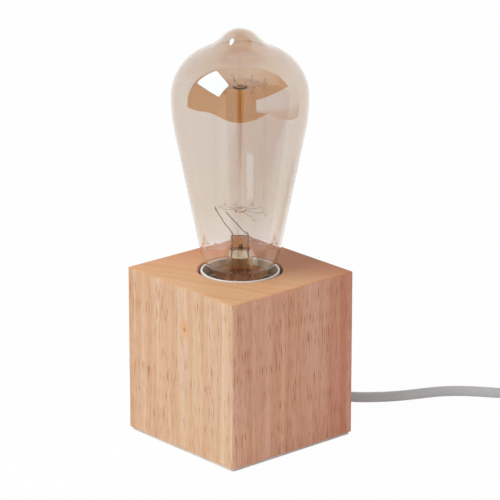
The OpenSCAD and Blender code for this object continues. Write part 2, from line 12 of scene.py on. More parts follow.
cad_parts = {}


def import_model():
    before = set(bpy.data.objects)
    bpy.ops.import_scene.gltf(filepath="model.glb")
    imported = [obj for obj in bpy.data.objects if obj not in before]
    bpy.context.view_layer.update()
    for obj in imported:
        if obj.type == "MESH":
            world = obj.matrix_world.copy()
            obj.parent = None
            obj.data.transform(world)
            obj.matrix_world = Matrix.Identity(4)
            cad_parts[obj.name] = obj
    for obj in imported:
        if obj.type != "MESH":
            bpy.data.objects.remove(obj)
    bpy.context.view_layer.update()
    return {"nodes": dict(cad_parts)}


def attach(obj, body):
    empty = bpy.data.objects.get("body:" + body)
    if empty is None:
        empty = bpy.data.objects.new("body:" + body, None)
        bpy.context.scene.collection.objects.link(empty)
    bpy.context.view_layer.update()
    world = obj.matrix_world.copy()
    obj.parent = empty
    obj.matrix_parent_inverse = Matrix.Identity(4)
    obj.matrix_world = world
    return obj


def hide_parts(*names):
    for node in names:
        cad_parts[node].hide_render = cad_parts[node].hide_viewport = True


MM = 0.001

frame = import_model()

# ---------------------------------------------------------------- sizes shared with the frame

BLOCK_W = 75
TOP_Z = 81.5
SEAT_Z = 53.4             # the bulb's own zero
SPIGOT_Z = 52             # the holder's own zero
SKIRT_IN_R = 17.65
PITCH = 3.629             # E27 thread, with the radii of its crests and roots
THREAD_FADE = 1.2         # height over which the thread runs out
SHELL_CREST_R = 13.85
SHELL_ROOT_R = 12.95
SHELL_T = 0.4
CAP_CREST_R = 13.05
CAP_ROOT_R = 12.3
CAP_T = 0.3

BULB_D = 64
BULB_LEN = 144.3
WIDEST_Z = 112
FLANK = 11.3              # degrees from the axis
FLANK_STEPS = 56
GLASS_T = 0.8
CAP_TOP = 26.1
GLASS_FOOT_R = 12.5       # where the glass stands in the cap
NECK_Z = 39.6
BELLY_R = 85
CROWN_R = 24.1
TIP_R = 10.7
SHOULDER_R = 22
NECK_R = 35

# The amber coat starts at the neck, along an edge that is lower at the back, and its mirror
# turns bluer with height. Heights, then what it lets through and what it mirrors there.
COAT_TILT = 0.325
COAT_HIGH_SIDE = Vector((0.750952, -0.660357, 0))
COAT = [
    (37.0, (1.0, 1.0, 1.0), (0.040, 0.040, 0.040)),
    (42.5, (0.885, 0.815, 0.77), (0.085, 0.080, 0.070)),
    (60.0, (0.83, 0.75, 0.675), (0.087, 0.100, 0.100)),
    (82.0, (0.819, 0.716, 0.595), (0.087, 0.178, 0.241)),
]
COAT_LOW, COAT_HIGH = COAT[0][0], COAT[-1][0]
COAT_STEPS = 18
COAT_CLOUD = (0.62, 0.50, 0.38)
COAT_EDGE = (0.945, 0.875, 0.805)

# The stem. Its flare is a tube that opens to a foot, and its top is pinched to the press.
STEM_TURN = 48.7          # degrees about Z
FOOT_R = 11.7
FLARE_R = 6
FLARE_Z = CAP_TOP + 1.5
TUBE_R = FOOT_R - FLARE_R
TUBE_T = 1
TUBE_CLEAR_Z = 30.6       # the flare is clear above, and brown below with painted amber light
PRESS_Z = 35.1
PRESS_TOP = 44.9
PRESS_HALF_W = 4.6
PRESS_HALF_D = 1.75
PRESS_EDGE = 0.8
PINCH_H = 4.2
BORE_R = 1.2
ROD_R = 1.45
ROD_PAINTED_AMBER = (66, 97)       # heights between which painted amber light deepens the rod's colour
LOWER_Z = 57.4            # the lower glass button
UPPER_Z = 118             # just above the upper one
CAGE_R = 12.5
HOOK_WIRE_R = 0.085
LEAD_WIRE_R = 0.22
STRAND_R = 0.018

CORD_D = 5
COIL_AT = (25.8, 222)
COIL_R = 27.5
COIL_REACH = 6.7
COIL_LAYERS = 3
TIE_ANGLE = 200
SWITCH_AT = (60, 173, 6)
PLUG_Z = 21.85

# Level directions of the view: towards the camera, and to its right.
TO_CAMERA = Vector((0.750952, -0.660357, 0))
TO_RIGHT = Vector((0.660357, 0.750952, 0))


# ---------------------------------------------------------------- points and outlines

def polar(r, degrees, z):
    """A point by its radius, angle and height."""
    a = math.radians(degrees)
    return (r * math.cos(a), r * math.sin(a), z)


def on_arc(centre, r, degrees):
    """The point at an angle on a circle in a plane."""
    a = math.radians(degrees)
    return (centre[0] + r * math.cos(a), centre[1] + r * math.sin(a))


def arc(centre, r, start, end, steps):
    """Points along an arc, angles in degrees."""
    return [on_arc(centre, r, start + (end - start) * i / steps) for i in range(steps + 1)]


def smooth(points, steps=6):
    """A finer path through the points, by Catmull-Rom."""
    p = [Vector(points[0])] + [Vector(v) for v in points] + [Vector(points[-1])]
    path = []
    for i in range(1, len(p) - 2):
        a, b, c, d = p[i - 1:i + 3]
        for k in range(steps):
            t = k / steps
            path.append(0.5 * (2 * b + (c - a) * t + (2 * a - 5 * b + 4 * c - d) * t ** 2
                               + (3 * b - a - 3 * c + d) * t ** 3))
    return path + [p[-1]]


# ---------------------------------------------------------------- meshes and curves

def add_mesh(name, points, faces, crease=35):
    """A mesh object with smooth shading up to the crease angle, its faces turned outwards."""
    mesh = bpy.data.meshes.new(name)
    mesh.from_pydata([[v * MM for v in p] for p in points], [], faces)
    shape = bmesh.new()
    shape.from_mesh(mesh)
    bmesh.ops.remove_doubles(shape, verts=shape.verts, dist=1e-7)
    bmesh.ops.recalc_face_normals(shape, faces=shape.faces)
    shape.to_mesh(mesh)
    shape.free()
    mesh.shade_smooth()
    mesh.set_sharp_from_angle(angle=math.radians(crease))
    piece = bpy.data.objects.new(name, mesh)
    bpy.context.scene.collection.objects.link(piece)
    return piece


def revolved(name, outline, lift, turns=96, crease=35):
    """A closed outline of (radius, height) points turned about Z."""
    points, rows = [], []
    for r, z in outline:
        first = len(points)
        if r < 1e-6:
            points.append((0, 0, z + lift))
            rows.append([first] * turns)
        else:
            points += [polar(r, 360 * k / turns, z + lift) for k in range(turns)]
            rows.append([first + k for k in range(turns)])
    faces = []
    for i in range(len(rows)):
        a, b = rows[i], rows[(i + 1) % len(rows)]
        for k in range(turns):
            j = (k + 1) % turns
            face = list(dict.fromkeys([a[k], a[j], b[j], b[k]]))
            if len(face) > 2:
                faces.append(face)
    return add_mesh(name, points, faces, crease)


def skinned(name, rings, crease, closed=False):
    """A skin over rings with the same number of points, its last ring joined to the first if it
    is closed, and its ends filled otherwise."""
    n, count = len(rings[0]), len(rings)
    points = [p for ring in rings for p in ring]
    faces = [] if closed else [list(range(n)), list(range(len(points) - n, len(points)))]
    for i in range(count if closed else count - 1):
        a, b = i * n, (i + 1) % count * n
        for k in range(n):
            j = (k + 1) % n
            faces.append([a + k, a + j, b + j, b + k])
    return add_mesh(name, points, faces, crease)


def wire_curve(name, paths, r, sides=3):
    """Round wire along one or more paths, as one curve."""
    data = bpy.data.curves.new(name, "CURVE")
    data.dimensions = "3D"
    data.bevel_depth = r * MM
    data.bevel_resolution = sides
    data.use_fill_caps = True
    for path in paths:
        spline = data.splines.new("POLY")
        spline.points.add(len(path) - 1)
        for point, place in zip(spline.points, path):
            point.co = (*[v * MM for v in place], 1)
    piece = bpy.data.objects.new(name, data)
    bpy.context.scene.collection.objects.link(piece)
    return piece


def dressed(piece, material, slot, body, *nodes):
    """Gives a new piece its material or materials and its body, and hides the nodes it stands for.
    Its slot is not used."""
    for item in material if isinstance(material, list) else [material]:
        piece.data.materials.append(item)
    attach(piece, body)
    if nodes:
        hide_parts(*nodes)
    return piece


def finish_node(material, *nodes):
    """Gives CAD nodes a material."""
    for name in nodes:
        slots = frame["nodes"][name].data.materials
        slots.clear()
        slots.append(material)


# ---------------------------------------------------------------- shader nodes

class Nodes:
    """One node tree, with short ways to fill it."""

    def __init__(self, tree):
        self.tree = tree
        tree.nodes.clear()

    def feed(self, socket, value):
        """Joins an output to a socket, or sets the socket's own value."""
        if isinstance(value, bpy.types.NodeSocket):
            self.tree.links.new(value, socket)
        else:
            socket.default_value = value

    def add(self, kind, inputs=None, **settings):
        item = self.tree.nodes.new("ShaderNode" + kind)
        for key, value in settings.items():
            setattr(item, key, value)
        for key, value in (inputs or {}).items():
            self.feed(item.inputs[key], value)
        return item

    def math(self, operation, a, b=0.0):
        return self.add("Math", {0: a, 1: b}, operation=operation).outputs[0]

    def between(self, value, low, high, to_low=0.0, to_high=1.0, kind="SMOOTHSTEP"):
        """Maps low to high onto to_low to to_high, and holds both ends."""
        return self.add("MapRange", {"Value": value, "From Min": low, "From Max": high,
                                     "To Min": to_low, "To Max": to_high},
                        interpolation_type=kind).outputs["Result"]

    def window(self, value, edges):
        """1 between the inner two of four edges, and 0 outside the outer two."""
        return self.math("MULTIPLY", self.between(value, *edges[:2]),
                         self.between(value, *edges[2:], 1, 0))

    def blend(self, factor, a, b):
        """A number between two numbers."""
        return self.add("Mix", {"Factor": factor, "A": a, "B": b}).outputs[0]

    def axis(self, letter, place):
        return self.add("SeparateXYZ", {0: place}).outputs[letter]

    def towards(self, direction, place):
        """How far a place lies along a direction."""
        return self.add("VectorMath", {0: place, 1: direction},
                        operation="DOT_PRODUCT").outputs["Value"]


class Shader(Nodes):
    """A material's node tree, with the object's own coordinates in metres as its place."""

    def __init__(self, name):
        self.material = bpy.data.materials.new(name)
        self.material.use_nodes = True
        super().__init__(self.material.node_tree)
        self.output = self.add("OutputMaterial")
        self.place = self.add("TexCoord").outputs["Object"]

    def show(self, surface):
        self.feed(self.output.inputs["Surface"], surface)

    def stretched(self, scale, place=None, turn=(0, 0, 0)):
        """The place, or another, turned and multiplied by a number per metre on each axis."""
        return self.add("Mapping", {"Vector": place or self.place, "Scale": scale,
                                    "Rotation": turn}).outputs[0]

    def noise(self, place, scale=1.0, detail=3.0, rough=0.5):
        return self.add("TexNoise", {"Vector": place, "Scale": scale, "Detail": detail,
                                     "Roughness": rough}).outputs["Fac"]

    def mix(self, factor, a, b, blend="MIX"):
        """A colour between two colours, or one by another way of blending."""
        item = self.add("Mix", {"Factor": factor}, data_type="RGBA", blend_type=blend)
        for socket, value in ((item.inputs[6], a), (item.inputs[7], b)):
            self.feed(socket, value if isinstance(value, bpy.types.NodeSocket) else (*value, 1))
        return item.outputs[2]

    def ramp(self, value, stops):
        item = self.add("ValToRGB", {"Fac": value})
        ramp = item.color_ramp
        while len(ramp.elements) < len(stops):
            ramp.elements.new(0.5)
        for element, (position, colour) in zip(ramp.elements, stops):
            element.position = position
            element.color = (*colour, 1)
        return item.outputs["Color"]


class Principled(Shader):
    """A material with one Principled surface."""

    def __init__(self, name):
        super().__init__(name)
        self.surface = self.add("BsdfPrincipled")
        self.show(self.surface.outputs[0])

    def set(self, **values):
        """Constants or links for the surface, spaces in names as underscores."""
        for key, value in values.items():
            self.feed(self.surface.inputs[key.replace("_", " ")], value)

    def bump(self, height, depth):
        """Bump from a height of 0 to 1, its depth in millimetres."""
        item = self.add("Bump", {"Height": height, "Distance": depth * MM})
        self.feed(self.surface.inputs["Normal"], item.outputs[0])


# ---------------------------------------------------------------- materials

WOOD_TONES = [
    (0.0, (0.740, 0.515, 0.340)), (0.30, (0.720, 0.470, 0.300)), (0.55, (0.690, 0.410, 0.255)),
    (0.80, (0.590, 0.258, 0.165)), (1.0, (0.535, 0.236, 0.154))
]
WOOD_ENDS = (-52, 34)     # where the tones start and end, across the growth rings
WOOD_WARP = 22            # how far the rings sway
RING_TURN = -24           # degrees about Z
RING_COLOUR = (0.60, 0.31, 0.15)
LINE_COLOUR = (0.59, 0.30, 0.135)
PALE_COLOUR = (0.87, 0.71, 0.57)
PORE_COLOUR = (0.38, 0.125, 0.038)
PORES = [((3600, 100, 1), 0.635, 0.95), ((2600, 50, 1), 0.68, 0.80)]
PORE_SOFTNESS = 0.06
TOP_TINT = (1.05, 0.93, 0.775)
RIGHT_TINT = (1.10, 0.905, 0.92)
KNOT_AT = (3.5, -BLOCK_W / 2, 61)
KNOT = [(0.3, 1.4, 0.95, (0.34, 0.11, 0.03)), (0.6, 5.5, 0.55, (0.76, 0.37, 0.15))]


def wood():
    """Rubberwood, cut along the grain: growth rings, streaks, pores and a small knot."""
    s = Principled("wood")
    warp = s.noise(s.stretched((14, 14, 5)), detail=2)
    across = s.axis("Y", s.stretched((1, 1, 1), turn=(0, 0, math.radians(RING_TURN))))
    across = s.math("ADD", across, s.math("MULTIPLY", s.math("SUBTRACT", warp, 0.5),
                                          WOOD_WARP * MM))
    tone = s.between(across, *[v * MM for v in WOOD_ENDS], kind="LINEAR")
    colour = s.ramp(tone, WOOD_TONES)
    rings = s.noise(s.add("CombineXYZ", {0: across}).outputs[0], scale=190, detail=5, rough=0.65)
    colour = s.mix(s.between(rings, 0.38, 0.66, 0, 0.55), colour, RING_COLOUR)

    # coordinates on each upright side: across it, and along the grain, which is Z
    normal = s.add("TexCoord").outputs["Normal"]
    facing = s.between(s.math("ABSOLUTE", s.axis("X", normal)), 0.4, 0.8)
    up = s.between(s.math("ABSOLUTE", s.axis("Z", normal)), 0.4, 0.8)
    upright = s.math("SUBTRACT", 1.0, up)
    along = s.blend(facing, s.axis("X", s.place), s.axis("Y", s.place))
    flat = s.add("CombineXYZ", {0: s.math("ADD", along, facing),
                                1: s.axis("Z", s.place)}).outputs[0]
    streaks = s.noise(s.stretched((1500, 22, 1), flat), detail=5, rough=0.75)
    broad = s.noise(s.stretched((210, 5, 1), flat), detail=3)
    lines = s.math("MULTIPLY", s.between(streaks, 0.46, 0.66, 0, 0.55), upright)
    colour = s.mix(lines, colour, LINE_COLOUR)
    pale = s.math("MULTIPLY", s.between(broad, 0.30, 0.60, 0.35, 0), upright)
    colour = s.mix(pale, colour, PALE_COLOUR)

    # pores: short dashes along the grain, in crowds
    crowd = s.noise(s.stretched((150, 24, 1), flat), detail=3)
    crowd = s.math("ADD", s.between(crowd, 0.35, 0.65, -0.03, 0.03),
                   s.between(facing, 0, 1, 0, 0.02))
    dashes = []
    for scale, low, strong in PORES:
        grain = s.math("ADD", s.noise(s.stretched(scale, flat), detail=1), crowd)
        dashes.append(s.between(grain, low, low + PORE_SOFTNESS, 0, strong))
    pores = s.math("MULTIPLY", s.math("MAXIMUM", *dashes), upright)
    colour = s.mix(pores, colour, PORE_COLOUR)

    # the knot on the front left face
    knot = s.add("VectorMath", {0: s.place, 1: [v * MM for v in KNOT_AT]}, operation="SUBTRACT")
    knot = s.stretched((1, 1, 0.75), knot.outputs[0])
    knot = s.add("VectorMath", {0: knot}, operation="LENGTH").outputs["Value"]
    for near, far, strong, brown in KNOT:
        colour = s.mix(s.between(knot, near * MM, far * MM, strong, 0), colour, brown)

    colour = s.mix(up, colour, TOP_TINT, "MULTIPLY")
    colour = s.mix(facing, colour, RIGHT_TINT, "MULTIPLY")
    s.set(Base_Color=colour, Roughness=s.between(streaks, 0.3, 0.7, 0.50, 0.60),
          Specular_IOR_Level=0.35)
    s.bump(s.math("SUBTRACT", s.math("MULTIPLY", streaks, 0.5), pores), 0.02)
    return s.material


def plain(name, colour, shade, rough, scale=900, depth=0.01, metallic=0.0, stretch=(1, 1, 1)):
    """Moulded, drawn or glazed surface: cloudy colour, fine bump and uneven gloss."""
    s = Principled(name)
    fine = s.noise(s.stretched([scale * v for v in stretch]), detail=4, rough=0.6)
    cloud = s.noise(s.stretched([scale * 0.06 * v for v in stretch]), detail=2)
    tint = s.mix(s.between(cloud, 0.3, 0.7), colour, shade)
    tint = s.mix(s.between(fine, 0.35, 0.75, 0, 0.35), tint, shade)
    s.set(Base_Color=tint, Metallic=metallic,
          Roughness=s.between(fine, 0.3, 0.7, rough * 0.85, rough * 1.15))
    s.bump(fine, depth)
    return s.material


def holder_plastic():
    """White plastic, with painted shade and amber light from the bulb on the skirt's inner wall,
    as a darker amber tone.
    """
    s = Principled("holder_plastic")
    fine = s.noise(s.stretched((260, 260, 260)), detail=4, rough=0.6)
    flat = s.add("VectorMath", {0: s.place, 1: (1, 1, 0)}, operation="MULTIPLY").outputs[0]
    radius = s.add("VectorMath", {0: flat}, operation="LENGTH").outputs["Value"]
    height = s.axis("Z", s.place)
    # the top of the skirt's inner wall, where shade and the bulb's amber light are painted
    inside = s.math("MULTIPLY", s.between(radius, SKIRT_IN_R * MM, (SKIRT_IN_R + 0.2) * MM, 1, 0),
                    s.between(height, (TOP_Z - 1.5) * MM, (TOP_Z - 0.2) * MM, 1, 0))
    tint = s.mix(s.between(fine, 0.35, 0.75), (0.86, 0.83, 0.78), (0.80, 0.76, 0.70))
    # painted shade and amber light: a darker amber tone in place of the white
    s.set(Base_Color=s.mix(inside, tint, (0.74, 0.54, 0.39)), Coat_Weight=0.3,
          Roughness=s.between(fine, 0.3, 0.7, 0.24, 0.32))
    s.bump(fine, 0.01)
    return s.material


def coat_mirror(height):
    """What the coat mirrors at a height."""
    for (low, _, dim), (high, _, bright) in zip(COAT, COAT[1:]):
        if height <= high:
            break
    t = max(0.0, min(1.0, (height - low) / (high - low)))
    return [a + (b - a) * t for a, b in zip(dim, bright)]


def amber_glass(name, height):
    """Glass under the coat, with what it mirrors at one height."""
    s = Principled(name)
    wave = s.noise(s.stretched((30, 30, 12)), detail=2)
    tilt = s.math("MULTIPLY", s.towards(COAT_HIGH_SIDE, s.place), COAT_TILT)
    place = s.math("SUBTRACT", s.axis("Z", s.place), tilt)
    along = s.between(place, (SEAT_Z + COAT_LOW) * MM, (SEAT_Z + COAT_HIGH) * MM, kind="LINEAR")
    tint = s.ramp(along, [((z - COAT_LOW) / (COAT_HIGH - COAT_LOW), colour)
                          for z, colour, _ in COAT])
    tint = s.mix(s.between(wave, 0.3, 0.7, 0.08, 0), tint, COAT_CLOUD)
    slant = s.add("LayerWeight", {"Blend": 0.5}).outputs["Facing"]
    tint = s.mix(s.between(slant, 0.30, 0.68), tint, COAT_EDGE, "MULTIPLY")
    mirror = coat_mirror(height)
    most = max(mirror)
    s.set(Base_Color=tint, Roughness=0.0,
          Transmission_Weight=1.0, IOR=(1 + math.sqrt(most)) / (1 - math.sqrt(most)),
          Specular_Tint=(*[v / most for v in mirror], 1.0))
    return s.material


def clear_glass(name, colour, shade, rough=0.02, clear=1.0, ior=1.5):
    """Cloudy glass of the stem, all or partly clear."""
    s = Principled(name)
    cloud = s.noise(s.stretched((260, 260, 160)), detail=3)
    s.set(Base_Color=s.mix(s.between(cloud, 0.35, 0.7), colour, shade), Roughness=rough, IOR=ior,
          Transmission_Weight=clear)
    s.bump(cloud, 0.05)
    return s.material


def rod_glass(name, deep, pale, ior):
    """Glass of the support rod or the line in its middle, with painted amber light that deepens
    towards the top, for the light that reaches the rod through the coat.
    """
    s = Principled(name)
    up = s.between(s.axis("Z", s.place), *[(SEAT_Z + z) * MM for z in ROD_PAINTED_AMBER])
    s.set(Base_Color=s.mix(up, pale, deep), Roughness=0.0, IOR=ior, Transmission_Weight=1.0)
    return s.material


def woven(name, colour, shade):
    """Strap of crossed threads."""
    s = Principled(name)
    threads = [s.add("TexWave", {"Vector": s.place, "Scale": 900.0, "Distortion": 1.0},
                     bands_direction=axis).outputs["Fac"] for axis in "XZ"]
    cloth = s.math("MULTIPLY", *threads)
    s.set(Base_Color=s.mix(cloth, shade, colour), Roughness=0.85, Sheen_Weight=0.3)
    s.bump(cloth, 0.15)
    return s.material


def pin_metal(sleeve_x):
    """Plug pins: nickel tips, and a dark sleeve from a place along X to the body."""
    s = Principled("pin_metal")
    sleeve = s.between(s.axis("X", s.place), sleeve_x * MM - 0.0001, sleeve_x * MM + 0.0001)
    fine = s.noise(s.stretched((300, 2500, 2500)), detail=3)
    metal = s.mix(fine, (0.72, 0.70, 0.66), (0.82, 0.80, 0.76))
    s.set(Base_Color=s.mix(sleeve, metal, (0.045, 0.045, 0.05)),
          Metallic=s.math("SUBTRACT", 1.0, sleeve), Roughness=s.between(sleeve, 0, 1, 0.22, 0.5))
    s.bump(fine, 0.004)
    return s.material


# Colour, shade, roughness, then scale, bump depth, metal and stretch where they aren't usual.
PLAIN = {
    "pad": ((0.78, 0.75, 0.71), (0.68, 0.65, 0.61), 0.8, 1500, 0.05),
    "ceramic": ((0.80, 0.77, 0.70), (0.68, 0.64, 0.56), 0.55, 900, 0.03),
    "shell_metal": ((0.80, 0.74, 0.60), (0.70, 0.62, 0.46), 0.24, 900, 0.01, 1.0, (1, 1, 6)),
    "brass": ((0.83, 0.62, 0.27), (0.70, 0.48, 0.18), 0.28, 900, 0.01, 1.0),
    "steel": ((0.66, 0.66, 0.67), (0.52, 0.52, 0.54), 0.32, 900, 0.01, 1.0),
    "brown_wire": ((0.17, 0.075, 0.035), (0.12, 0.05, 0.025), 0.4),
    "blue_wire": ((0.04, 0.13, 0.38), (0.03, 0.09, 0.28), 0.4),
    "cord_sheath": ((0.68, 0.665, 0.67), (0.62, 0.605, 0.61), 0.42, 700, 0.02),
    "switch_plastic": ((0.78, 0.77, 0.76), (0.72, 0.71, 0.70), 0.38, 2200, 0.02),
    "rocker_plastic": ((0.36, 0.36, 0.37), (0.30, 0.30, 0.31), 0.35, 2200, 0.02),
    "plug_plastic": ((0.62, 0.605, 0.61), (0.56, 0.545, 0.55), 0.42, 1800, 0.03),
    "solder": ((0.62, 0.62, 0.63), (0.50, 0.50, 0.52), 0.38, 500, 0.08, 1.0),
    "cap_metal": ((0.82, 0.80, 0.76), (0.72, 0.69, 0.63), 0.22, 900, 0.01, 1.0, (1, 1, 5)),
    "cap_glass": ((0.012, 0.012, 0.014), (0.02, 0.018, 0.02), 0.12, 900, 0.02),
    # bore: painted shade, the darkness inside the bore's mouth
    "bore": ((0.10, 0.045, 0.025), (0.05, 0.02, 0.012), 0.5),
    # cement: partly its own tan-brown, partly painted amber light
    "cement": ((0.80, 0.43, 0.21), (0.60, 0.28, 0.12), 0.8, 400, 0.1),
    "support_wire": ((0.30, 0.155, 0.085), (0.22, 0.11, 0.06), 0.6, 2500),
    "filament": ((0.42, 0.33, 0.27), (0.34, 0.26, 0.21), 0.5, 3000),
}
# Colour, shade, then roughness, the clear share and IOR where they aren't usual.
CLEAR = {
    "stem_glass": ((0.97, 0.93, 0.85), (0.94, 0.87, 0.74)),
    "press_glass": ((1.0, 0.93, 0.79), (0.96, 0.84, 0.65), 0.0, 0.88, 1.16),
    # the flare's brown is painted amber light on clear glass
    "flare_painted_amber": ((0.88, 0.50, 0.29), (0.62, 0.30, 0.15), 0.05, 0.5),
    "tube_glass": ((0.96, 0.84, 0.68), (0.88, 0.69, 0.48), 0.0, 1.0, 1.16),
    "bead_glass": ((0.97, 0.90, 0.86), (0.92, 0.82, 0.76), 0.02, 1.0, 1.3),
}
MATERIALS = {
    "wood": wood(),
    "holder_plastic": holder_plastic(),
    "tie": woven("tie", (0.10, 0.10, 0.11), (0.03, 0.03, 0.035)),
    # the rod's deep colours are painted amber light, not the glass's own tint
    "rod_glass": rod_glass("rod_glass", (0.90, 0.72, 0.46), (0.99, 0.965, 0.95), 1.4),
    "rod_core": rod_glass("rod_core", (0.76, 0.58, 0.32), (1.0, 0.99, 0.98), 1.0),
}
MATERIALS.update((name, plain(name, *row)) for name, row in PLAIN.items())
MATERIALS.update((name, clear_glass(name, *row)) for name, row in CLEAR.items())
COATED_GLASS = [amber_glass("amber_glass_%d" % k,
                            COAT_LOW + (COAT_HIGH - COAT_LOW) * k / COAT_STEPS)
                for k in range(COAT_STEPS + 1)]


# ---------------------------------------------------------------- wooden base and lampholder

def base():
    finish_node(MATERIALS["wood"], "base_block")
    finish_node(MATERIALS["pad"], "base_pad")


def holder():
    finish_node(MATERIALS["holder_plastic"], "holder_skirt", "holder_dome")
    finish_node(MATERIALS["ceramic"], "holder_insert")
    finish_node(MATERIALS["switch_plastic"], "clamp_block", "clamp_bar")
    finish_node(MATERIALS["brass"], "contact_leaf", "contact_rivets", "terminal_blocks",
                "switch_contacts")
    finish_node(MATERIALS["steel"], "terminal_screws", "threaded_nipple", "nipple_washer",
                "nipple_nut", "clamp_screws", "switch_screws", "switch_axle")
    finish_node(MATERIALS["brown_wire"], "lead_live", "switch_wires")
    finish_node(MATERIALS["blue_wire"], "lead_neutral")
    dressed(thread_shell(), MATERIALS["shell_metal"], "shell_metal", "base", "thread_shell")


def thread(z, degrees, ends, root, crest):
    """Radius of an E27 thread at a height and angle, running out at both ends."""
    rounds = z / PITCH - degrees / 360
    wave = 0.5 + 0.5 * math.cos(2 * math.pi * rounds)
    low, high = ends
    fade = max(0.0, min(1.0, (z - low) / THREAD_FADE, (high - z) / THREAD_FADE))
    return crest + (root - crest) * (1 - wave) * fade


def threaded_sheet(name, below, ends, above, root, crest, t, lift):
    """Thin-walled shell: plain outline below, thread between the ends, plain outline above."""
    turns, steps = 96, 96
    rows = [[(r, z)] * turns for r, z in below]
    for i in range(steps + 1):
        z = ends[0] + (ends[1] - ends[0]) * i / steps
        rows.append([(thread(z, 360 * k / turns, ends, root, crest), z) for k in range(turns)])
    rows += [[(r, z)] * turns for r, z in above]
    outer, inner = [[[polar(r - inset, 360 * k / turns, z + lift)
                      for k, (r, z) in enumerate(row)] for row in rows] for inset in (0, t)]
    return skinned(name, outer + inner[::-1], 50, closed=True)


def thread_shell():
    """The holder's threaded shell, which the cap's thread runs in."""
    start = SEAT_Z - SPIGOT_Z
    return threaded_sheet(
        "thread_shell_rolled",
        [(9.2, 0.0), (9.2, 0.4), (13.0, 0.4), (SHELL_CREST_R, 1.2)], (start + 4.5, start + 20.3),
        [(SHELL_CREST_R, 24.2), (14.4, 24.8), (14.55, 25.3)],
        SHELL_ROOT_R, SHELL_CREST_R, SHELL_T, SPIGOT_Z)


# ---------------------------------------------------------------- bulb

def meet(c1, r1, c2, r2):
    """Centre that lies r1 from c1 and r2 from c2, on the outer side."""
    a, b = Vector(c1), Vector(c2)
    d = (b - a).length
    along = (r1 * r1 - r2 * r2 + d * d) / (2 * d)
    u = (b - a) / d
    return a + along * u + math.sqrt(r1 * r1 - along * along) * Vector((u.y, -u.x))


def angle_of(centre, other):
    """Angle from one point of a plane to another, in degrees."""
    return math.degrees(math.atan2(other[1] - centre[1], other[0] - centre[0]))


def glass_outline(inset):
    """The bulb's glass from cap to tip: neck, flank, belly, crown, fillet and nipple."""
    belly = (BULB_D / 2 - BELLY_R, WIDEST_Z)
    crown = (BULB_D / 2 - CROWN_R, WIDEST_Z)
    tip = (0, BULB_LEN - TIP_R)
    shoulder = meet(crown, CROWN_R + SHOULDER_R, tip, TIP_R + SHOULDER_R)
    crown_end = angle_of(crown, shoulder)
    tip_start = angle_of(tip, shoulder)
    flank_top = on_arc(belly, BELLY_R, -FLANK)
    slope = math.radians(FLANK)
    flank_end = (flank_top[0] - (flank_top[1] - NECK_Z) * math.tan(slope), NECK_Z)
    neck = (flank_end[0] - NECK_R * math.cos(slope), flank_end[1] + NECK_R * math.sin(slope))
    neck_start = -math.degrees(math.asin((neck[1] - CAP_TOP) / (NECK_R - inset)))
    side = arc(neck, NECK_R - inset, neck_start, -FLANK, 24)
    low, high = side[-1], on_arc(belly, BELLY_R - inset, -FLANK)
    side += [(low[0] + (high[0] - low[0]) * i / FLANK_STEPS,
              low[1] + (high[1] - low[1]) * i / FLANK_STEPS) for i in range(1, FLANK_STEPS)]
    return (
        side + arc(belly, BELLY_R - inset, -FLANK, 0, 24)
        + arc(crown, CROWN_R - inset, 2, crown_end, 40)
        + arc(shoulder, SHOULDER_R + inset, crown_end + 178, tip_start + 182, 12)
        + arc(tip, TIP_R - inset, tip_start, 90, 24)[:-1] + [(0, BULB_LEN - inset)]
    )


def lets_light_in(piece):
    """The room's soft light reaches the inside through this glass, which still casts a shadow."""
    piece.visible_diffuse = False


def bulb_glass():
    """The envelope, each ring of its faces with the coat of its height."""
    foot = [(GLASS_FOOT_R - GLASS_T, CAP_TOP - 7), (GLASS_FOOT_R, CAP_TOP - 7),
            (GLASS_FOOT_R, CAP_TOP - 1)]
    inner = glass_outline(GLASS_T)[::-1] + [(GLASS_FOOT_R - GLASS_T, CAP_TOP - 1.5)]
    envelope = revolved("glass_envelope", foot + glass_outline(0) + inner, SEAT_Z, turns=144,
                        crease=60)
    for face in envelope.data.polygons:
        height = (face.center.z - COAT_TILT * face.center.dot(COAT_HIGH_SIDE)) / MM - SEAT_Z
        share = (height - COAT_LOW) / (COAT_HIGH - COAT_LOW)
        face.material_index = round(COAT_STEPS * max(0.0, min(1.0, share)))
    lets_light_in(envelope)
    return envelope


def bulb_cap():
    """The rolled cap, with the cement that holds the glass on its inner side."""
    rim_r = CAP_CREST_R + 0.2
    cap = threaded_sheet(
        "cap_rolled",
        [(8.6, 3.6), (11.4, 4.2), (12.7, 5.6)], (6.3, 20.2),
        [(CAP_CREST_R, CAP_TOP - 1.4), (rim_r, CAP_TOP - 1), (rim_r, CAP_TOP)],
        CAP_ROOT_R, CAP_CREST_R, CAP_T, SEAT_Z)
    for face in cap.data.polygons:
        inwards = face.normal.x * face.center.x + face.normal.y * face.center.y < 0
        face.material_index = 1 if inwards else 0
    return cap


def in_stem(points):
    """Points of the stem, turned and lifted to their place in the bulb."""
    turn = Matrix.Rotation(math.radians(STEM_TURN), 3, "Z")
    return [turn @ Vector(p) + Vector((0, 0, SEAT_Z)) for p in points]


def stem_flare():
    """The flare from its foot on the neck to the press, clear in its upper part and brown with
    painted amber light in its lower part.
    """
    centre = (FOOT_R, FLARE_Z)
    outer = arc(centre, FLARE_R, -90, -180, 20)
    inner = arc(centre, FLARE_R + TUBE_T, -90, -180, 20)[::-1]
    outline = [(FOOT_R, FLARE_Z - 7), (FOOT_R, FLARE_Z - 6)] + outer
    outline += [(TUBE_R, PRESS_Z), (TUBE_R - TUBE_T, PRESS_Z)] + inner
    foot = revolved("stem_foot", outline, SEAT_Z)
    for face in foot.data.polygons:
        face.material_index = 1 if face.center.z > (SEAT_Z + TUBE_CLEAR_Z) * MM else 0
    lets_light_in(foot)
    return foot


